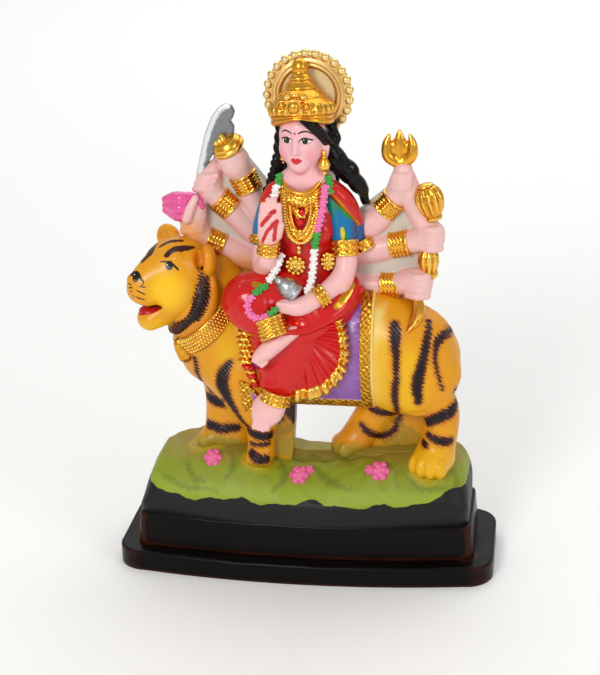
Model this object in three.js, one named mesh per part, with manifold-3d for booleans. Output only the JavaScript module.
// A painted cast figure of a crowned goddess with eight arms. She sits side-saddle on a
// walking tiger, over a grassy mound on a two-step plinth, and all of it is one casting.
//
// Millimetres, +Z up. X runs along the tiger, whose head is at -X, and the figure faces -Y.
// The origin is the middle of the plinth's underside.
import * as THREE from "three";
import { mergeVertices } from "three/addons/utils/BufferGeometryUtils.js";
import Module from "manifold-3d";

const wasm = await Module();
wasm.setup();

// Plinth: a low foot with round corners, and a step on it. Both fronts bow out a little.
const PLINTH_WIDTH = 160;
const PLINTH_DEPTH = 62;
const FOOT_HEIGHT = 9;
const FOOT_CORNER = 12;
const STEP_SIDE_INSET = 8;
const STEP_FRONT_INSET = 7;
const STEP_HEIGHT = 14.5;
const STEP_CORNER = 3;
const STEP_DRAFT = 1.2; // how much wider the step is at its bottom, each side
const FRONT_BOW = 5.5;
const EDGE_ROUND = 1.4;
const CORNER_STEPS = 4;
const BOW_STEPS = 6;

// Mound: how far its toe stays inside the step in front and at the ends, how high its crest
// is, and what share of that its steep toe takes.
const MOUND_MARGIN = 1.5;
const MOUND_END_MARGIN = 5.8;
const MOUND_SHIFT = 1.6; // how far it sits towards the tail
const MOUND_HEAD_END = 5.5; // how far in from the head's end it is at its full height
const MOUND_TAIL_END = 11;
const MOUND_HEIGHT = 27.5;
const MOUND_TOE_SHARE = 0.3;
const MOUND_SLOPE_DEPTH = 28;
const MOUND_ROOT = 3; // how far it reaches down into the plinth
const FLOWER_RADIUS = 3.4;
const FLOWER_PETALS = 5;

// Figure: everything from the plinth's top to the top of the halo. The forms below are given
// in millimetres on a figure of DRAWN_HEIGHT, and scale with FIGURE_HEIGHT.
const FIGURE_HEIGHT = 196;
const DRAWN_HEIGHT = 196;
const SHARE = FIGURE_HEIGHT / DRAWN_HEIGHT;

// Ornament sizes, in the same millimetres.
const HALO_RADIUS = 17.6;
const HALO_THICKNESS = 3.4;
const HALO_BEADS = 28;
const HALO_BEAD_RADIUS = 2;
const CROWN_FLUTES = 14;
const WEB_THICKNESS = 5;
const CUFF_WIDTH = 7.5;
const CUFF_PROUD = 1.2;
const COLLAR_RADIUS = 14;
const PLEATS = 12;
const PLEAT_DEPTH = 0.9;
const HEM_SHARE = 0.87;
const HEM_PROUD = 1.2;
const CLOTH_PROUD = 1.3;
const CLOTH_BORDER = 4;
const BORDER_PROUD = 0.8;
const GARLAND_RADIUS = 1.8;

// Facets: how many triangles the figure keeps, and how its skin is thinned to them.
const FACETS = 9400;
const ROUND_SHARE = 0.06; // the share of the edges that one round may close up
const LEAST_TURN = 0.35; // the least cosine between a facet's directions before and after
const SHORT_EDGE_WEIGHT = 1e-3;
const FLAT_FORM = 1e-4; // below this share a form is too flat to have a lowest point of its own

const STEP_WIDTH = PLINTH_WIDTH - 2 * STEP_SIDE_INSET;
const STEP_DEPTH = PLINTH_DEPTH - 2 * STEP_FRONT_INSET;
const PLINTH_TOP = FOOT_HEIGHT + STEP_HEIGHT;

const X = new THREE.Vector3(1, 0, 0);
const Y = new THREE.Vector3(0, 1, 0);
const Z = new THREE.Vector3(0, 0, 1);
const vector = (x, y, z) => new THREE.Vector3(x, y, z);
const mix = (a, b, t) => a + (b - a) * t;
const clamp = THREE.MathUtils.clamp;
const radians = THREE.MathUtils.degToRad;
const count = (n, make) => Array.from({ length: n }, (_, i) => make(i));

// A closed mesh as a solid, with only its merged positions kept.
function solid(geometry) {
  geometry.deleteAttribute("normal");
  geometry.deleteAttribute("uv");
  const merged = mergeVertices(geometry, 1e-4);
  return new wasm.Manifold(
    new wasm.Mesh({
      numProp: 3,
      vertProperties: new Float32Array(merged.attributes.position.array),
      triVerts: new Uint32Array(merged.index.array),
    }),
  );
}

// Many solids joined into one.
function join(solids) {
  let parts = solids.flat(Infinity);
  while (parts.length > 1) {
    const pairs = count(Math.ceil(parts.length / 2), (i) => parts.slice(2 * i, 2 * i + 2));
    parts = pairs.map(([a, b]) => (b ? a.add(b) : a));
  }
  return parts[0];
}

// A skin over rings of points, closed by a pole at each end. Each ring runs anticlockwise as
// seen from the end pole.
function skin(start, rings, end) {
  const sides = rings[0].length;
  const points = [start, ...rings.flat(), end];
  const at = (ring, side) => 1 + ring * sides + (side % sides);
  const faces = [];
  for (let side = 0; side < sides; side++) {
    faces.push(0, at(0, side + 1), at(0, side));
    faces.push(points.length - 1, at(rings.length - 1, side), at(rings.length - 1, side + 1));
    for (let ring = 0; ring + 1 < rings.length; ring++) {
      faces.push(at(ring, side), at(ring, side + 1), at(ring + 1, side + 1));
      faces.push(at(ring, side), at(ring + 1, side + 1), at(ring + 1, side));
    }
  }
  const geometry = new THREE.BufferGeometry().setFromPoints(points);
  geometry.setIndex(faces);
  return solid(geometry);
}

// A limb through stations of [x, y, z, radius, second radius], with round ends. The first
// radius lies along `across`. `ribs` swells it that many times on its way.
function limb(stations, { sides = 10, steps = 2, across = Y, ribs = 0, ribDepth = 0.15 } = {}) {
  const curve = new THREE.CatmullRomCurve3(stations.map(([x, y, z]) => vector(x, y, z)));
  const radii = new THREE.CatmullRomCurve3(
    stations.map(([, , , first, second = first]) => vector(first, second, 0)),
  );
  const ring = (u, along, share) => {
    const centre = curve.getPoint(u);
    const tangent = curve.getTangent(u);
    const first = across.clone().addScaledVector(tangent, -across.dot(tangent)).normalize();
    const second = vector(0, 0, 0).crossVectors(tangent, first);
    const radius = radii.getPoint(u);
    const swell = share * (1 + ribDepth * (ribs ? Math.cos(2 * Math.PI * ribs * u) : 0));
    centre.addScaledVector(tangent, along * Math.min(radius.x, radius.y));
    return count(sides, (i) => {
      const angle = (2 * Math.PI * (i + 0.5)) / sides;
      return centre
        .clone()
        .addScaledVector(first, swell * radius.x * Math.cos(angle))
        .addScaledVector(second, swell * radius.y * Math.sin(angle));
    });
  };
  const pole = (u, along) => {
    const radius = radii.getPoint(u);
    const reach = along * Math.min(radius.x, radius.y);
    return curve.getPoint(u).addScaledVector(curve.getTangent(u), reach);
  };
  const segments = (stations.length - 1) * steps;
  const middle = count(segments + 1, (i) => ring(i / segments, 0, 1));
  const cap = (u, along) => ring(u, (2 * u - 1) * along, Math.sqrt(1 - along ** 2));
  const rings = [cap(0, 0.8), cap(0, 0.45), ...middle, cap(1, 0.45), cap(1, 0.8)];
  return skin(pole(0, -1), rings, pole(1, 1));
}

// An ellipsoid of three radii, turned by angles in degrees about X, Y and Z.
function ball(at, radii, { turn = [0, 0, 0], wide = 14, high = 9 } = {}) {
  const [rx, ry, rz] = Array.isArray(radii) ? radii : [radii, radii, radii];
  const geometry = new THREE.SphereGeometry(1, wide, high).rotateX(Math.PI / 2);
  geometry.scale(rx, ry, rz);
  const angles = new THREE.Euler(...turn.map(radians));
  geometry.applyQuaternion(new THREE.Quaternion().setFromEuler(angles));
  return solid(geometry.translate(...at));
}

// A form turned about an axis through `at`, from [radius, height] pairs. `flutes` waves draw
// its wall in by the share `fluteDepth`.
function turned(profile, at, axis = Z, { sides = 16, flutes = 0, fluteDepth = 0.1 } = {}) {
  const points = profile.map(([radius, height]) => new THREE.Vector2(radius, height));
  const geometry = new THREE.LatheGeometry(points, sides).rotateX(Math.PI / 2);
  const p = geometry.attributes.position;
  for (let i = 0; i < p.count && flutes; i++) {
    const angle = Math.atan2(p.getY(i), p.getX(i));
    const pull = 1 - fluteDepth * (0.5 - 0.5 * Math.cos(flutes * angle));
    p.setXY(i, p.getX(i) * pull, p.getY(i) * pull);
  }
  geometry.applyQuaternion(new THREE.Quaternion().setFromUnitVectors(Z, axis.clone().normalize()));
  return solid(geometry.translate(...at));
}

// A small rosette of petals round a boss, facing along `axis`.
function rosette(at, radius, axis, petals = FLOWER_PETALS) {
  const profile = [[0, -0.5], [0.9, -0.5], [1, 0.1], [0.8, 0.4], [0.4, 0.5], [0.26, 0.68], [0, 0.7]];
  return turned(
    profile.map(([r, h]) => [r * radius, h * radius]),
    at,
    axis,
    { sides: 4 * petals, flutes: petals, fluteDepth: 0.22 },
  );
}

// A flat outline of [x, z] points, as thick as `thickness` about the plane y.
function slab(outline, y, thickness) {
  const shape = new THREE.Shape(outline.map(([x, z]) => new THREE.Vector2(x, z)));
  const geometry = new THREE.ExtrudeGeometry(shape, { depth: thickness, bevelEnabled: false });
  return solid(geometry.rotateX(Math.PI / 2).translate(0, y + thickness / 2, 0));
}

// Plinth and mound

// The outline of a rectangle with round corners whose front bows out, anticlockwise.
function plinthOutline(width, depth, corner, bow, cornerSteps) {
  const half = width / 2 - corner;
  const front = -depth / 2 + bow + corner;
  const back = depth / 2 - corner;
  const arc = (x, y, from) =>
    count(cornerSteps + 1, (i) => {
      const angle = radians(from + (90 * i) / cornerSteps);
      return [x + corner * Math.cos(angle), y + corner * Math.sin(angle)];
    });
  const bowed = count(BOW_STEPS - 1, (i) => {
    const t = mix(-1, 1, (i + 1) / BOW_STEPS);
    return [t * half, front - corner - bow * (1 - t * t)];
  });
  const atBack = [...arc(half, back, 0), ...arc(-half, back, 90)];
  return [...arc(half, front, 270), ...atBack, ...arc(-half, front, 180), ...bowed];
}

// One tier of the plinth between two heights, with its top edge eased, and wider by the draft
// at its bottom.
function tier(width, depth, corner, bottom, top, draft) {
  const level = (grow, z) =>
    plinthOutline(width + 2 * grow, depth + 2 * grow, corner + grow, FRONT_BOW, CORNER_STEPS).map(
      ([x, y]) => vector(x, y, z),
    );
  const rings = [
    level(draft, bottom),
    level(0, top - EDGE_ROUND),
    level(-EDGE_ROUND * 0.3, top - EDGE_ROUND * 0.3),
    level(-EDGE_ROUND, top),
  ];
  return skin(vector(0, 0, bottom), rings, vector(0, 0, top));
}

function plinth() {
  const width = STEP_WIDTH - 2 * STEP_DRAFT;
  const depth = STEP_DEPTH - 2 * STEP_DRAFT;
  return [
    tier(PLINTH_WIDTH, PLINTH_DEPTH, FOOT_CORNER, 0, FOOT_HEIGHT, 0),
    tier(width, depth, STEP_CORNER, FOOT_HEIGHT - EDGE_ROUND, PLINTH_TOP, STEP_DRAFT),
  ];
}

// The mound's height over the plinth's top: a flat crest that rolls down to a steep toe in
// front, steep ends and a steep back, with a few soft swells.
function moundHeight(place, y) {
  const x = place - MOUND_SHIFT;
  const halfX = STEP_WIDTH / 2 - MOUND_END_MARGIN;
  const halfY = STEP_DEPTH / 2 - MOUND_MARGIN;
  const frontLine = -halfY + FRONT_BOW * (x / halfX) ** 2;
  const end = clamp((halfX - Math.abs(x)) / (x < 0 ? MOUND_HEAD_END : MOUND_TAIL_END), 0, 1);
  const back = clamp((halfY - y) / 7, 0, 1);
  const front = clamp((y - frontLine) / MOUND_SLOPE_DEPTH, 0, 1);
  const toe = clamp((y - frontLine) / 1.5, 0, 1);
  const rise = MOUND_TOE_SHARE * toe + (1 - MOUND_TOE_SHARE) * (1 - (1 - front) ** 3);
  const swell = 0.87 + 0.12 * Math.cos((x + 38) / 13) + 0.02 * Math.sin(x / 6.5 + y / 9);
  const round = (t) => Math.sqrt(t * (2 - t));
  return MOUND_HEIGHT * swell * rise * mix(0.3, 1, round(end)) * round(back);
}

function mound() {
  const level = (inset, height) => {
    const width = STEP_WIDTH - 2 * (MOUND_END_MARGIN + inset);
    const depth = STEP_DEPTH - 2 * (MOUND_MARGIN + inset);
    const corner = Math.max(2, 8 - inset * 0.5);
    const outline = plinthOutline(width, depth, corner, FRONT_BOW * (1 - inset / 22), CORNER_STEPS);
    return outline.map(([x, y]) => {
      const place = x + MOUND_SHIFT;
      return vector(place, y, height ?? moundHeight(place, y));
    });
  };
  const slope = [0.7, 1.6, 3.5, 6, 9, 12.5, 16].map((inset) => level(inset));
  const rings = [level(0, -MOUND_ROOT), level(0, 2), ...slope];
  const centre = (height) => vector(MOUND_SHIFT, 0, height);
  return skin(centre(-MOUND_ROOT), rings, centre(moundHeight(MOUND_SHIFT, 0)));
}

// The mound's flowers, as [x, y, size].
const FLOWERS = [
  [-39, -9, 1],
  [-2, -11, 1],
  [2.6, -8.6, 0.6],
  [32, -10.8, 1.1],
  [27.4, -10, 0.6],
];

const flowers = () =>
  FLOWERS.map(([x, y, size]) =>
    rosette([x, y, moundHeight(x, y)], FLOWER_RADIUS * size, vector(0, -0.8, 0.6)),
  );

// Tiger

const TIGER_HEAD = [-51, -5, 103.5];
const TIGER_HEAD_TURN = 35; // degrees that the head turns towards the viewer
const TIGER_EARS = [
  [[-2, -10, 13], 20],
  [[-6.4, 11.6, 8.6], -20],
];

// A point of the tiger's head, from how far it is forward, to the viewer's side, and up.
function onTigerHead([forward, side, up]) {
  const angle = radians(TIGER_HEAD_TURN);
  return [
    TIGER_HEAD[0] - forward * Math.cos(angle) + side * Math.sin(angle),
    TIGER_HEAD[1] - forward * Math.sin(angle) - side * Math.cos(angle),
    TIGER_HEAD[2] + up,
  ];
}

const headBall = (at, radii, options) =>
  ball(onTigerHead(at), radii, { turn: [0, 0, TIGER_HEAD_TURN], ...options });

const headLimb = (stations, options) =>
  limb(stations.map(([f, s, u, ...radii]) => [...onTigerHead([f, s, u]), ...radii]), options);

function tigerHead() {
  const skull = headBall([-1, 0, 2], [14, 12.4, 13.6], { wide: 20, high: 12 });
  const muzzlePath = [[1, 0, 2, 11.4, 11], [9, 0, 0, 8.8, 9.4], [16.8, 0, -3.8, 6.6, 6]];
  const muzzle = headLimb(muzzlePath, { sides: 14 });
  const bridge = headLimb([[3, 0, 9.6, 6.4, 5], [12, 0, 3.6, 4.4, 4], [19, 0, 0, 3.2, 2.6]]);
  const jawPath = [[-1, 0, -8.4, 10.8, 10], [7, 0, -13.6, 8, 6.8], [13.6, 0, -16.8, 6.2, 5]];
  const jaw = headLimb(jawPath, { sides: 12 });
  const sides = [-1, 1].map((side) => [
    headBall([2, 6.5 * side, -5.4], [9.6, 5.8, 9.4]),
    headBall([15.4, 3.2 * side, -5], [5.2, 4.2, 5]),
    headLimb([[9.4, 3.4 * side, 8.4, 2.4], [4, 8.6 * side, 9.4, 3]]),
    headBall([9.4, 6.8 * side, 6], [2.2, 2, 1.8], { wide: 8, high: 5 }),
  ]);
  const ears = TIGER_EARS.map(([place, turn]) => ear(place, turn));
  const ruffPath = [
    [-6, 12, 4, 2.2], [-4.6, 13, -6, 3], [-1, 10.6, -15, 3.2], [4, 3.4, -22, 3], [-2, -7, -20, 2.2],
  ];
  const ruff = headLimb(ruffPath, { sides: 8, steps: 4, ribs: 7, ribDepth: 0.1 });
  const mouth = headLimb([[9, 0, -10.6, 6.4, 1.6], [16, 0, -11.4, 7.6, 2.2], [24, 0, -13, 9, 3.4]]);
  const tongue = headBall([11, 0, -12.6], [6.8, 4.4, 2.4], { wide: 10, high: 6 });
  return [join([skull, muzzle, bridge, jaw, sides, ruff, ears]).subtract(mouth), tongue];
}

// A round ear with a hollow front, turned by degrees about the upright.
function ear([forward, side, up], angle) {
  const turn = [0, 0, TIGER_HEAD_TURN + angle];
  const outer = headBall([forward, side, up], [3.4, 5.4, 6.4], { turn });
  const hollow = headBall([forward + 3, side, up + 0.8], [2.4, 3.4, 4.2], { turn, wide: 10, high: 6 });
  return outer.subtract(hollow);
}

function tigerBody() {
  return [
    limb(
      [
        [-42, 1, 70, 11, 15],
        [-30, 1.5, 69, 13.6, 20.5],
        [-12, 2.5, 70.6, 15, 23.6],
        [10, 3, 71, 15.6, 24.5],
        [30, 3, 70.6, 16, 24.5],
        [46, 4, 67.6, 14.5, 21],
        [54, 4, 66, 10, 14],
      ],
      { sides: 20 },
    ),
    limb([[-33, 1, 70, 12.5, 15], [-43, -2, 84, 12.5, 13], [-50, -4, 98, 12, 12]], { sides: 16 }),
    ball([43, -2.6, 66.6], [19, 11.8, 21.5], { wide: 20, high: 14, turn: [0, -8, 0] }),
    limb([[-24, 3, 84, 9, 13], [-31, 3, 94, 7, 10], [-37, 1, 104, 6, 8]], { sides: 12 }),
    limb([[-27, -6.5, 60, 9, 13], [-20, -8, 48, 8, 10.5]], { sides: 12 }),
  ];
}

// A paw whose four toes point to `heading` degrees, anticlockwise from +X.
function paw([x, y, z], heading, size) {
  const angle = radians(heading);
  const along = vector(Math.cos(angle), Math.sin(angle), 0);
  const across = vector(-Math.sin(angle), Math.cos(angle), 0);
  const toe = (share) => {
    const at = vector(x, y, z - size * 0.16)
      .addScaledVector(along, size * (0.78 - 0.2 * share * share))
      .addScaledVector(across, share * size * 0.66);
    const radii = [size * 0.46, size * 0.3, size * 0.5];
    return ball(at.toArray(), radii, { turn: [0, 0, heading], wide: 8, high: 6 });
  };
  return [
    ball([x, y, z], [size * 1.05, size * 0.9, size * 0.76], { turn: [0, 0, heading] }),
    [-1, -0.34, 0.34, 1].map(toe),
  ];
}

function tigerLegs() {
  return [
    limb([[-19, -5, 58, 10, 12], [-15.5, -6, 46, 9, 10.5], [-17, -7, 36, 7.4, 7.6], [-19.5, -7.5, 26, 6.4]]),
    limb([[-37, 6, 60, 9, 9], [-38.5, 7, 44, 8, 8], [-38.5, 5, 28, 8, 8]]),
    limb([[53, -3, 54, 10, 10], [58, -5, 46, 7.6, 7.6], [57.5, -6, 36, 7.2, 7.4], [55, -6, 27, 8, 8]]),
    limb([[36, 8, 54, 9, 9], [30, 8, 41, 8, 9], [22, 7, 30, 7.5, 7.5]]),
    paw([-20, -8, 26], 262, 7.2),
    paw([-44, 1, 29.4], 190, 7),
    paw([54.4, -7.6, 27], 250, 9.6),
    paw([17.5, 4.4, 27], 205, 8),
    slab([[26, 22], [57, 22], [56, 52], [36, 52]], 6, 7),
    slab([[-36, 22], [-6, 22], [-4.6, 38], [-4, 52], [-36, 52]], 0, 7),
  ];
}

// The tail hangs down the rump and ends against the haunch.
const tigerTail = () =>
  limb([[43, 7, 86, 3.6], [51.6, 5, 79, 4], [57.4, 2, 70, 4], [60.4, 0, 60, 3.8], [60, -3, 52, 3]]);

// The collar: three rows of beading round the neck, with a bell in front.
function tigerCollar() {
  const r = COLLAR_RADIUS;
  const profile = [
    [0, -3.6], [r - 1, -3.6], [r, -2.4], [r - 0.8, -1.2], [r, 0],
    [r - 0.8, 1.2], [r, 2.4], [r - 1, 3.6], [0, 3.6],
  ];
  return [
    turned(profile, [-42, -2.4, 81.5], vector(-0.6, -0.22, 0.77), { sides: 28 }),
    ball([-51, -9.5, 73.4], 2.7, { wide: 10, high: 6 }),
  ];
}

// The saddle cloth: a band over the back that hangs down both sides, with a raised border.
const SADDLE = { left: -24.5, right: 28, bottom: 47.4 };

function saddleCloth() {
  const barrel = (proud) =>
    limb(
      [
        [SADDLE.left - 6, 1.6, 69.2, 13.9 + proud, 21 + proud],
        [-12, 2.5, 70.6, 15 + proud, 23.6 + proud],
        [10, 3, 71, 15.6 + proud, 24.5 + proud],
        [SADDLE.right + 6, 3.2, 70.4, 15.8 + proud, 24.2 + proud],
      ],
      { sides: 20 },
    );
  const box = (inset) => {
    const { left, right, bottom } = SADDLE;
    const block = new THREE.BoxGeometry(right - left - 2 * inset, 60, 60);
    return solid(block.translate((left + right) / 2, 3, bottom + inset + 30));
  };
  const cloth = barrel(CLOTH_PROUD).intersect(box(0));
  const border = barrel(CLOTH_PROUD + BORDER_PROUD).intersect(box(0)).subtract(box(CLOTH_BORDER));
  return [cloth, border];
}

// Goddess

const HEAD = [2, -5, 161];
const HEAD_TURN = -10; // degrees that the face turns towards the tiger's head

// A point of the head, from how far it is to the side, back and up.
function onHead(side, back, up) {
  const place = vector(side, back, up).applyAxisAngle(Z, radians(HEAD_TURN));
  return place.add(vector(...HEAD)).toArray();
}

const faceBall = (at, radii, options) =>
  ball(onHead(...at), radii, { turn: [0, 0, HEAD_TURN], ...options });

function head() {
  return [
    faceBall([0, 0, 2], [9.2, 9.6, 10.5], { wide: 18, high: 12 }),
    faceBall([0, -1.4, -5], [7.6, 7.8, 7.4], { wide: 16, high: 10 }),
    limb([[2, -3, 137, 5.8], [2, -4, 152, 5.2]]),
    limb([[...onHead(0, -8.8, 1.5), 0.9], [...onHead(0, -10.3, -2.8), 1.5]], { sides: 8 }),
    faceBall([0, -8.6, -6.2], [2.2, 1.1, 1.2], { wide: 10, high: 6 }),
    faceBall([0, -7.4, -10.2], [2.3, 1.8, 1.6], { wide: 10, high: 6 }),
    [-1, 1].map((side) => [
      faceBall([3.6 * side, -8.2, 1.4], [2, 1, 1.1], { wide: 10, high: 6 }),
      limb([[...onHead(9 * side, 0, 0), 1.6], [...onHead(9.4 * side, -1, -7.4), 1.6]], { sides: 8 }),
    ]),
  ];
}

function hair() {
  const lock = (path, ribs) => limb(path, { steps: 3, ribs, ribDepth: 0.08 });
  const tress = [[2, 6, 162, 8, 5], [2, 8, 145, 12, 4], [2, 9.5, 120, 12, 4], [2, 10, 104, 8, 3]];
  return [
    ball([2, -1.5, 161.5], [11, 9.6, 12]),
    lock([[-7.6, -4, 168, 2.6], [-9.4, -2, 157, 3.4], [-9.5, 1, 147, 4], [-13, 3, 137, 3.4]], 4),
    lock([[12, -4, 168, 2.6], [14, -2, 157, 3.8], [15.5, 1, 147, 4.2], [20, 3, 138, 4], [25, 3, 128, 3]], 6),
    limb(tress, { across: X, sides: 12 }),
  ];
}

// The crown: a rolled band, a fluted bowl, two smaller tiers and a knob.
function crown() {
  const profile = [
    [0, -1.5], [12, -1.5], [12.5, 0.4], [12.1, 2.2], [13.2, 4.4], [13, 8.6], [11, 11.6], [8.6, 13.6],
    [9.2, 15.2], [8.6, 16.6], [5.8, 19], [5.9, 20.4], [3.2, 22.6], [3.6, 24.4], [3, 26], [0, 27.6],
  ];
  const medallion = [[0, -1], [4, -1], [4.1, 0.6], [3, 0.9], [2.6, 0.8], [2, 2], [0, 2.6]];
  return [
    turned(profile, [2.4, -4, 167.5], vector(0, 0.06, 1), {
      sides: 4 * CROWN_FLUTES,
      flutes: CROWN_FLUTES,
      fluteDepth: 0.07,
    }),
    turned(medallion, [0.6, -15.8, 175.5], vector(-0.15, -1, 0.1)),
  ];
}

// The halo: a disc with a beaded edge, a raised ring and a sunk field.
function halo() {
  const centre = [2.9, 6, 174];
  const forward = Y.clone().negate();
  const front = HALO_THICKNESS / 2;
  const ring = HALO_RADIUS - 4;
  const profile = [
    [0, -front], [HALO_RADIUS, -front], [HALO_RADIUS, front], [ring + 1.6, front],
    [ring + 1.2, front + 0.9], [ring, front + 0.9], [ring - 0.6, front - 0.6], [0, front - 0.6],
  ];
  const beads = count(HALO_BEADS, (i) => {
    const angle = (2 * Math.PI * (i + 0.5)) / HALO_BEADS;
    const [x, y, z] = centre;
    const at = [x + HALO_RADIUS * Math.cos(angle), y - 0.4, z + HALO_RADIUS * Math.sin(angle)];
    return ball(at, HALO_BEAD_RADIUS, { wide: 7, high: 5 });
  });
  return [turned(profile, centre, forward, { sides: 36 }), beads];
}

function torso() {
  const trunk = [
    [5, 1, 94, 17, 11], [3, -2, 106, 12, 9], [2, -3, 118, 12, 9], [2, -3, 130, 13.6, 9], [2, -2, 138, 11, 5],
  ];
  return [
    limb(trunk, { across: X, sides: 16 }),
    [-4.4, 8.2].map((x) => ball([x, -8.6, 124], [5.4, 4.4, 5.2])),
    limb([[10, -3, 141, 4.4, 3.6], [18, -1, 136, 4.4, 3.4], [26, 2, 124, 3.4, 3]]),
    limb([[-5, -4, 141, 4, 3], [-12, -3, 136, 4.4, 3.2], [-16, -2, 127, 3.6, 3]]),
  ];
}

// The two arms in front: one raised with an open palm, one resting in the lap.
function frontArms() {
  const palm = [[-10.8, -17.4, 124, 4.4, 2.4], [-9.8, -18.2, 130, 5, 2.6], [-9.6, -18.4, 133.4, 4.8, 2.2]];
  const finger = (x, z, top, radius) =>
    limb([[x, -17.6, z, radius], [x + 0.6, -18.6, top, radius * 0.8]], { sides: 7, steps: 1 });
  return [
    limb([[-13, -1, 134, 5], [-17, -4, 121, 4.6], [-15.4, -9, 109, 5], [-12, -15, 114, 4]]),
    limb([[-11.6, -16, 116, 3.4], [-10.8, -17.5, 124, 3.6]]),
    limb(palm, { across: X }),
    finger(-13, 132.6, 137.6, 1.5),
    finger(-10.8, 133.6, 139.6, 1.55),
    finger(-8.6, 133.6, 139.8, 1.55),
    finger(-6.6, 132, 137.6, 1.4),
    limb([[-7, -18.4, 125, 1.8], [-5.2, -20, 130, 1.4]], { sides: 8 }),
    limb([[17, -2, 134, 6], [20.4, -5, 122, 6], [21, -9, 110, 5], [17.6, -12, 103, 4.8]]),
    limb([[19, -11, 105, 4.8], [9, -17, 99.5, 3.6], [1, -19.5, 96, 3.8], [-6, -19.5, 96.5, 2.6]]),
  ];
}

// A closed hand at `at`, with its four bent fingers in a row along `row`.
function fist(at, row, size) {
  const direction = row.clone().normalize().multiplyScalar(size * 0.72);
  const front = vector(...at).addScaledVector(Y, -size * 0.5);
  const finger = (share) => {
    const centre = front.clone().addScaledVector(direction, share).toArray();
    return ball(centre, [size * 0.72, size * 0.44, size * 0.27], { wide: 10, high: 6 });
  };
  return [ball(at, [size, size * 0.8, size]), [-1, -0.33, 0.33, 1].map(finger)];
}

// The six arms behind, each from the shoulder line to its hand.
const BACK_ARMS = [
  [[-10, 5, 122, 4.8], [-18.6, 5.6, 129, 4.6], [-23.5, 5, 140.6, 4.4], [-27.6, 3, 151.6, 6.4]],
  [[-12, 6, 114, 5], [-22, 6.4, 120.6, 5], [-32.6, 4.4, 131.3, 4.4], [-39.6, 3, 138, 4.8]],
  [[-12, 7, 104, 5], [-26, 6.4, 109, 5], [-37.6, 4.4, 114.8, 4.4], [-44, 2.6, 119, 5]],
  [[16, 5, 120, 5], [26, 6, 123, 4.8], [33, 5, 134, 4.2], [38, 3, 142, 4]],
  [[16, 6, 112, 5], [26, 7, 112.5, 4.8], [38, 5, 115.5, 4.2], [47, 3, 118.5, 4.6]],
  [[15, 7, 100, 5], [24, 8, 97, 4.8], [34, 5, 98, 4.2], [42, 2, 101, 4.2]],
];

function backArms() {
  return [
    BACK_ARMS.map((path) => limb(path)),
    limb([[-27, 2.6, 149, 5.6, 6], [-29.2, 2, 155.6, 5.4, 5.8]]),
    limb([[-39.6, 3, 137, 5], [-39.6, 2.6, 142.6, 4.4], [-38.8, 3, 146, 3.4]]),
    limb([[-44.6, 2.6, 119, 5.2], [-45, 1.6, 125, 4.8], [-44.4, 1, 130.6, 2.8]]),
    limb([[38, 3, 141, 4.4], [40, 3, 147, 3.4]]),
    fist([50.3, 2.5, 119.4], Z, 5.8),
    fist([45.4, 1.5, 99.6], Z, 6),
  ];
}

// A gold cuff of two rolls and a bar round an arm at `at`, along `axis`.
function cuff(at, axis, radius, width = CUFF_WIDTH) {
  const half = width / 2;
  const high = radius + CUFF_PROUD;
  const low = radius + CUFF_PROUD * 0.4;
  const profile = [
    [0, -half], [high - 0.3, -half], [high, -half * 0.8], [high - 0.2, -half * 0.5],
    [low, -half * 0.35],
    [high, 0], [low, half * 0.35], [high - 0.2, half * 0.5], [high, half * 0.8], [high - 0.3, half],
    [0, half],
  ];
  return turned(profile, at, vector(...axis), { sides: 12 });
}

const cuffs = () => [
  cuff([-23.4, 5, 140.6], [-0.4, -0.15, 0.9], 4.8),
  cuff([-32.4, 4.6, 131.3], [-0.72, -0.15, 0.68], 4.6),
  cuff([-37.2, 4.6, 114.6], [-0.9, -0.15, 0.42], 4.7),
  cuff([32, 5.2, 132.4], [0.5, -0.15, 0.85], 4.5),
  cuff([37.5, 5.2, 115.4], [0.96, -0.15, 0.22], 4.5),
  cuff([33, 5.4, 97.8], [1, -0.15, 0.05], 4.5),
  cuff([-11, -16.8, 119.6], [0.12, -0.2, 0.98], 3.7, 6),
  cuff([20.6, -6.6, 117], [0.05, -0.28, -1], 5.5, 7),
  cuff([10, -16.4, 100.2], [-0.86, -0.5, -0.5], 3.9, 5),
  cuff([-16.6, -3.6, 124], [-0.1, -0.3, -1], 4.9, 5),
];

// The web of material that carries the arms, on each side.
const webs = () => [
  slab(
    [[-8, 92], [-30, 96], [-45, 114], [-44, 126], [-39, 140], [-36, 152], [-24, 152], [-13, 138], [-6, 134]],
    7,
    WEB_THICKNESS,
  ),
  slab(
    [[10, 134], [22, 129], [33, 138], [42, 143], [46, 130], [52, 120], [49, 104], [46, 88], [30, 80]],
    7,
    WEB_THICKNESS,
  ),
];

// The curved sword, whose hilt ends in a gold guard on top of the hand.
function sword() {
  const edge = [[-42.3, 145.4], [-40.4, 154], [-38.6, 162], [-36, 168], [-33, 171.6], [-30.4, 172.9]];
  const tip = [[-27.6, 172.3], [-26.4, 170], [-27, 167.6], [-28.2, 166], [-26.8, 164]];
  const spine = [[-27, 161], [-34, 155], [-37, 150], [-38.6, 145.4]];
  const guard = [[0, -3.4], [6.2, -2.6], [7.2, -0.6], [6.6, 0.7], [3, 1.4], [2.6, 3], [0, 3.6]];
  return [
    slab([...edge, ...tip, ...spine], 4, 2.6),
    turned(guard, [-29.6, 2, 157.4], vector(-0.46, -0.36, 0.82)),
  ];
}

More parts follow.
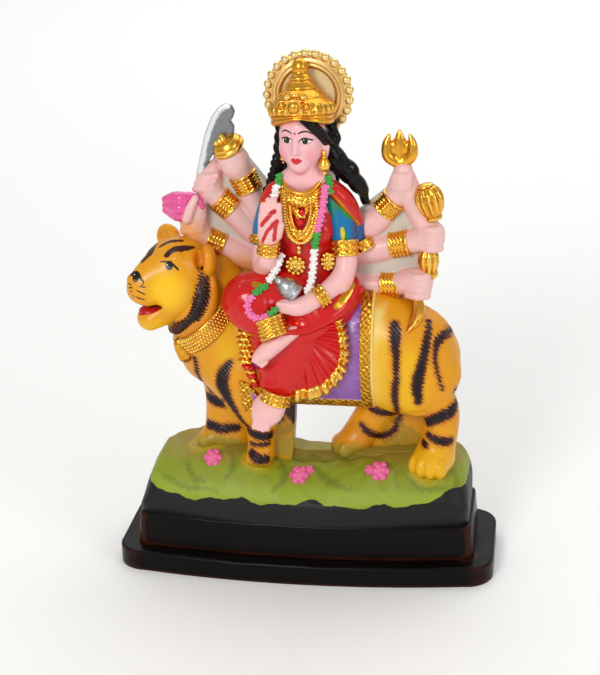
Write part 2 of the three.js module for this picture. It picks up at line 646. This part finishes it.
function lotus() {
  const petal = (lift, out) =>
    limb([
      [-42, -0.6, 131 + lift, 2, 1.8],
      [-49, -2.6 - out, 130.6 + 1.5 * lift, 3, 3],
      [-56, -0.6, 131 + lift, 1.4, 1.6],
    ]);
  return [
    ball([-49.4, 0, 131], [7.6, 4.6, 5.8], { turn: [0, 8, 0] }),
    petal(2.6, 0),
    petal(-0.4, 1.4),
    petal(-3, 0.4),
    limb([[-46, -1, 135.4, 2], [-42.4, -2, 134.6, 1.8], [-40.4, -2.4, 131.6, 1.3]], { sides: 8 }),
  ];
}

function trident() {
  const x = 39.2;
  const y = 3;
  const outer = [[1, 149.4, 2.4], [5, 153, 2.6], [5.2, 158, 2], [3.6, 161.6, 0.8]];
  const prong = (side) => limb(outer.map(([out, z, radius]) => [x + out * side, y, z, radius]), { sides: 8 });
  return [
    limb([[x, y, 147, 2.2], [x, y, 152, 2.2], [x, y, 158.6, 2.2], [x, y, 163.4, 0.5]], { sides: 8 }),
    prong(1),
    prong(-1),
    ball([x, y, 153], [6.4, 2, 4.2], { wide: 12, high: 6 }),
  ];
}

function mace() {
  const headProfile = [
    [0, -8.4], [3.6, -8], [3.6, -6.4], [5.6, -3.6], [6.6, 0], [6.2, 3], [4.8, 5.4], [2.6, 6.6], [0, 7.4],
  ];
  const shaft = [[0, -10], [3, -9.4], [3.6, -6], [2.6, -4], [4.2, -1], [2.4, 3], [2.2, 20], [0, 20]];
  return [
    turned(headProfile, [50.6, 2, 135.2], vector(-0.05, 0, 1), { sides: 40, flutes: 10, fluteDepth: 0.13 }),
    turned(shaft, [48.6, 2, 111]),
  ];
}

// The curved gold tip below the lowest hand.
const bowTip = () =>
  limb([[46, 0, 96, 2], [47, -1.6, 90, 2.8, 1.8], [45.4, -2.6, 85, 2.6, 1.6], [41.4, -3.4, 81.6, 1]], {
    sides: 8,
    across: X,
  });

const pot = () =>
  turned(
    [[0, 0], [4.6, 0], [5, 1.4], [4.2, 2.6], [4.8, 4.6], [4.2, 7], [2.8, 9], [1.6, 11], [0, 11.6]],
    [0.2, -17.4, 101],
    vector(-0.74, -0.1, 0.66),
  );

// Legs under the cloth: one folded across the lap, one hanging.
function legs() {
  return [
    limb([[6, -2, 97, 10, 10], [-8, -9, 98, 11, 11], [-19.4, -13, 95.6, 12, 12]], { sides: 14 }),
    limb([[-19, -14, 94, 11, 11], [-15, -18, 90, 8, 8], [-9, -21, 87.6, 5.4, 5.4]], { sides: 12 }),
    limb([[20, -2, 95.6, 8, 8], [13, -9, 92.6, 8.6, 8.8], [3, -15, 87, 7, 8]], { sides: 12 }),
    limb([[3, -13.4, 86, 7, 9], [-4, -14, 72, 6.4, 10], [-8.4, -15.4, 61, 5.6, 7.4]], { sides: 12 }),
    cuff([-10.6, -21, 88.4], [0.66, -0.5, -0.2], 5.4, 7),
    limb([[0, -20.6, 86, 2.2], [-6, -22, 83, 3.4, 3], [-12, -23.4, 78, 3, 2.6], [-17.4, -23, 73.4, 1.8]]),
    cuff([-9.4, -18.4, 58.4], [-0.4, -0.1, -1], 5.4, 6),
    limb([[-10, -18.6, 57, 4], [-13, -20, 50, 4.4, 3.4], [-17, -21.6, 44, 2.6, 2]]),
  ];
}

// The fan of pleats that falls from the lap, with a raised hem along its round edge. It
// reaches `side` at its right end, `down` at its lowest, and less again past that.
const FAN = { x: 1, z: 85, from: 18, to: -128, back: -8, front: -17.4, side: 17.5, down: 31, past: 25 };
const FAN_LOWEST = 0.77;

function fanReach(t) {
  if (t > FAN_LOWEST) return mix(FAN.down, FAN.past, ((t - FAN_LOWEST) / (1 - FAN_LOWEST)) ** 2);
  return mix(FAN.side, FAN.down, THREE.MathUtils.smoothstep(t, 0.05, FAN_LOWEST));
}

function fan() {
  const columns = 4 * PLEATS;
  const section = (column) => {
    const t = column / columns;
    const angle = radians(mix(FAN.from, FAN.to, t));
    const pleat = PLEAT_DEPTH * Math.cos((Math.PI * column) / 2);
    const at = (share, y) => {
      const reach = fanReach(t) * share;
      return vector(FAN.x + reach * Math.cos(angle), y, FAN.z + reach * Math.sin(angle));
    };
    return [
      at(0.05, FAN.back),
      at(0.05, FAN.front),
      at(0.45, FAN.front + pleat * 0.7 - 1),
      at(HEM_SHARE, FAN.front + pleat),
      at(HEM_SHARE + 0.01, FAN.front - HEM_PROUD + pleat * 0.6),
      at(1, FAN.front - HEM_PROUD * 0.8 + pleat * 0.6),
      at(1, FAN.back),
    ];
  };
  const rings = count(columns + 1, (column) => section(columns - column));
  const middle = (ring) => ring.reduce((sum, p) => sum.add(p), vector(0, 0, 0)).divideScalar(ring.length);
  return skin(middle(rings[0]), rings, middle(rings[columns]));
}

// The cloth's loose ends: a frilled edge by the folded leg, and the sash at the hip.
const looseEnds = () => [
  limb([[-21.6, -15, 85, 2.4], [-23, -15.6, 77, 2.8], [-22, -15.6, 67, 2.8], [-20.6, -16, 58, 2.4]], {
    steps: 4,
    ribs: 4,
    ribDepth: 0.2,
  }),
  limb([[20, -7, 97, 5, 4], [26, -3, 101, 3.6, 3], [27.6, 0, 104, 2, 2]]),
];

// The garland: a ribbed rope from the shoulders down into the lap, where it makes a loop.
const LAP = [-15.4, -20.6, 105];

function garland() {
  const rope = (points, ribs) =>
    limb(points.map((p) => [...p, GARLAND_RADIUS]), { sides: 8, steps: 4, ribs, ribDepth: 0.14 });
  return [
    rope([[-4.6, -9, 141], [-7.4, -12, 133], [-8.4, -13.6, 121], [-7, -13, 111], [-9, -16, 106], LAP], 9),
    rope([LAP, [-21.6, -23.6, 101], [-21.4, -25, 95.6], [-15, -24.6, 93.6], [-7, -22, 96]], 7),
    rope([[9.6, -9, 141], [11.6, -12, 132], [9.6, -13.6, 122], [7.4, -13, 111], [4.6, -15, 102]], 8),
  ];
}

// Necklaces: a broad collar, a long looped chain with a pendant, and two brooches below.
function necklaces() {
  const middle = 2;
  const even = (half) => [
    ...half.map(([out, ...rest]) => [middle - out, ...rest]),
    ...half.slice(0, -1).reverse().map(([out, ...rest]) => [middle + out, ...rest]),
  ];
  const collar = even([[7.6, -8, 141.6, 1.8], [5, -11, 137.6, 2], [0, -12.4, 135.6, 2.2]]);
  const chain = even([[6.6, -11, 138, 1.8], [7, -13, 128, 2], [4, -13.6, 119, 2], [0, -13.6, 116.4, 2]]);
  const pendant = even([[3.6, -11.6, 133, 1.2], [2.4, -12.4, 124, 1.4], [0, -12.6, 121.6, 1.8]]);
  return [
    limb(collar, { sides: 8 }),
    limb(chain, { sides: 8, steps: 4, ribs: 12, ribDepth: 0.12 }),
    limb(pendant, { sides: 8 }),
    rosette([-0.5, -11, 109], 4.6, vector(0, -1, 0.1), 6),
    rosette([12, -10, 111], 3.6, vector(0.3, -1, 0.1)),
  ];
}

// The whole casting

const figure = join([
  mound(),
  flowers(),
  tigerHead(),
  tigerBody(),
  tigerLegs(),
  tigerTail(),
  tigerCollar(),
  saddleCloth(),
  head(),
  hair(),
  crown(),
  halo(),
  torso(),
  frontArms(),
  backArms(),
  cuffs(),
  webs(),
  sword(),
  lotus(),
  trident(),
  mace(),
  bowTip(),
  pot(),
  legs(),
  fan(),
  looseEnds(),
  garland(),
  necklaces(),
]);

// The square distances to a plane through `corner` with the unit `normal`, as the ten numbers
// of a symmetric form.
function planeForm(corner, normal) {
  const { x, y, z } = normal;
  const w = -corner.dot(normal);
  return [x * x, x * y, x * z, x * w, y * y, y * z, y * w, z * z, z * w, w * w];
}

// The sum of the square distances that a form gives at a point.
function formAt([xx, xy, xz, xw, yy, yz, yw, zz, zw, ww], { x, y, z }) {
  const squares = xx * x * x + yy * y * y + zz * z * z + ww;
  return squares + 2 * (xy * x * y + xz * x * z + yz * y * z + xw * x + yw * y + zw * z);
}

// The point where a form is least, if the form has one.
function lowestPoint([xx, xy, xz, xw, yy, yz, yw, zz, zw]) {
  const matrix = new THREE.Matrix3(xx, xy, xz, xy, yy, yz, xz, yz, zz);
  if (Math.abs(matrix.determinant()) < FLAT_FORM * (xx + yy + zz) ** 3) return [];
  return [vector(-xw, -yw, -zw).applyMatrix3(matrix.invert())];
}

// A closed skin that can lose edges: its points, the facets on them, and each point's form.
class Skin {
  constructor(geometry) {
    const at = geometry.attributes.position;
    const { array } = geometry.index;
    this.points = count(at.count, (i) => vector(at.getX(i), at.getY(i), at.getZ(i)));
    this.faces = count(array.length / 3, (i) => [...array.slice(3 * i, 3 * i + 3)]);
    this.around = this.points.map(() => new Set());
    this.forms = this.points.map(() => new Array(10).fill(0));
    for (const face of this.faces) {
      const normal = this.normal(face);
      const area = normal.length() / 2;
      const form = planeForm(this.points[face[0]], normal.normalize()).map((value) => value * area);
      for (const corner of face) {
        this.around[corner].add(face);
        this.forms[corner] = this.forms[corner].map((value, i) => value + form[i]);
      }
    }
    this.faces = new Set(this.faces);
  }

  // A facet's normal, twice as long as its area, with one corner moved if one is named.
  normal(face, moved, place) {
    const [a, b, c] = face.map((corner) => (corner === moved ? place : this.points[corner]));
    return b.clone().sub(a).cross(c.clone().sub(a));
  }

  neighbours(corner) {
    return new Set([...this.around[corner]].flat().filter((other) => other !== corner));
  }

  // The best place for the point that an edge closes up to, and what it costs.
  closing(a, b) {
    const [p, q] = [this.points[a], this.points[b]];
    const form = this.forms[a].map((value, i) => value + this.forms[b][i]);
    const length = p.distanceTo(q);
    const near = (place) => place.distanceTo(p) + place.distanceTo(q) < 2 * length;
    const places = [p, q, p.clone().lerp(q, 0.5), ...lowestPoint(form).filter(near)];
    const costs = places.map((place) => formAt(form, place) + SHORT_EDGE_WEIGHT * length ** 2);
    const least = costs.indexOf(Math.min(...costs));
    return { a, b, form, place: places[least], cost: costs[least] };
  }

  // Whether an edge can close up and leave the skin whole, with no facet turned over.
  canClose({ a, b, place }) {
    const others = this.neighbours(b);
    const shared = [...this.neighbours(a)].filter((corner) => others.has(corner));
    if (shared.length !== 2) return false;
    return [a, b].every((corner) =>
      [...this.around[corner]].every((face) => {
        if (face.includes(a) && face.includes(b)) return true;
        const before = this.normal(face);
        const after = this.normal(face, corner, place);
        return after.dot(before) > LEAST_TURN * after.length() * before.length();
      }),
    );
  }

  close({ a, b, place, form }) {
    for (const face of [...this.around[a]]) {
      if (!face.includes(b)) {
        face[face.indexOf(a)] = b;
        this.around[b].add(face);
        continue;
      }
      for (const corner of face) this.around[corner].delete(face);
      this.faces.delete(face);
    }
    this.around[a].clear();
    this.points[b] = place.clone();
    this.forms[b] = form;
  }

  // Closes up the cheapest edges, round by round, until about `facets` are left.
  thin(facets) {
    while (this.faces.size > facets) {
      const edges = [...this.faces].flatMap(([a, b, c]) => [[a, b], [b, c], [c, a]]);
      const closings = edges.filter(([a, b]) => a < b).map(([a, b]) => this.closing(a, b));
      closings.sort((one, other) => one.cost - other.cost);
      const touched = new Set();
      for (const closing of closings.slice(0, Math.ceil(closings.length * ROUND_SHARE))) {
        const near = [closing.a, closing.b];
        if (this.faces.size <= facets || near.some((corner) => touched.has(corner))) continue;
        if (!this.canClose(closing)) continue;
        near.forEach((corner) => this.neighbours(corner).forEach((other) => touched.add(other)));
        this.close(closing);
      }
    }
    return this;
  }

  // The facets that hang together with the one given.
  shell(first) {
    const found = new Set([first]);
    for (const face of found) {
      for (const corner of face) this.around[corner].forEach((next) => found.add(next));
    }
    return found;
  }

  // The skin as a geometry, without the skins of hollows sealed inside.
  geometry() {
    const height = (face) => this.points[face[0]].z;
    const highest = [...this.faces].reduce((a, b) => (height(a) > height(b) ? a : b));
    const corners = [...this.shell(highest)].flat().map((corner) => this.points[corner]);
    return mergeVertices(new THREE.BufferGeometry().setFromPoints(corners), 1e-5);
  }
}

// A solid's vertices and faces as a three.js geometry.
function geometryOf(made) {
  const { vertProperties, triVerts } = made.getMesh();
  const geometry = new THREE.BufferGeometry();
  geometry.setAttribute("position", new THREE.BufferAttribute(vertProperties, 3));
  geometry.setIndex(new THREE.BufferAttribute(triVerts, 1));
  return geometry;
}

const thinned = solid(new Skin(geometryOf(figure)).thin(FACETS).geometry());
const standing = thinned.scale([SHARE, SHARE, SHARE]).translate([0, 0, PLINTH_TOP]);
const surface = geometryOf(join([plinth(), standing]));
surface.computeVertexNormals();

const painted = new THREE.MeshStandardMaterial({ color: 0xd9a13a, roughness: 0.45, metalness: 0 });
const statue = new THREE.Mesh(surface, painted);
statue.name = "durga_on_tiger";

const group = new THREE.Group();
group.name = "durga_figure";
group.add(statue);

export default group;
